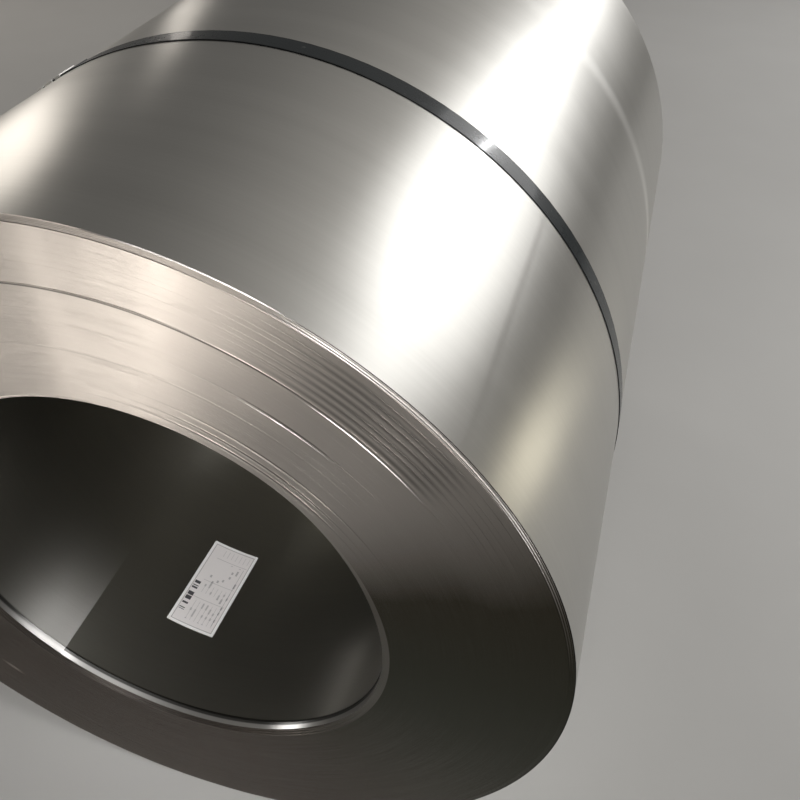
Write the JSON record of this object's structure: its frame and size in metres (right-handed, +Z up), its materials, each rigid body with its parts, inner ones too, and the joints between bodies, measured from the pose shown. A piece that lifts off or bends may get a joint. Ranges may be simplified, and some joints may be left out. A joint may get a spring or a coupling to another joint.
{
  "type": "steel coil",
  "caption": "Slit strip of bare steel wound into a wide hollow coil lying on its side, held by one crimped steel strap, with a paper label inside the bore.",
  "frame": {"origin": "bottom centre of the whole object's box, on the floor under the middle of the coil", "axes": "+Z up, +Y along the bore from the near end to the far end, +X to the right when looking along +Y"},
  "size_m": [1.0564, 1.316, 1.0564],
  "materials": {
    "strip": "bare cold-rolled strip, satin, fine turns on the ends",
    "strapping": "dark blue-black painted strap, semi-gloss",
    "seal": "bright zinc-coated seal",
    "paper": "printed label with ruled lines and made-up bars"
  },
  "bodies": {
    "root": {"coil": "strip", "strap": "strapping", "strap_seal": "seal", "label": "paper"}
  },
  "joints": []
}
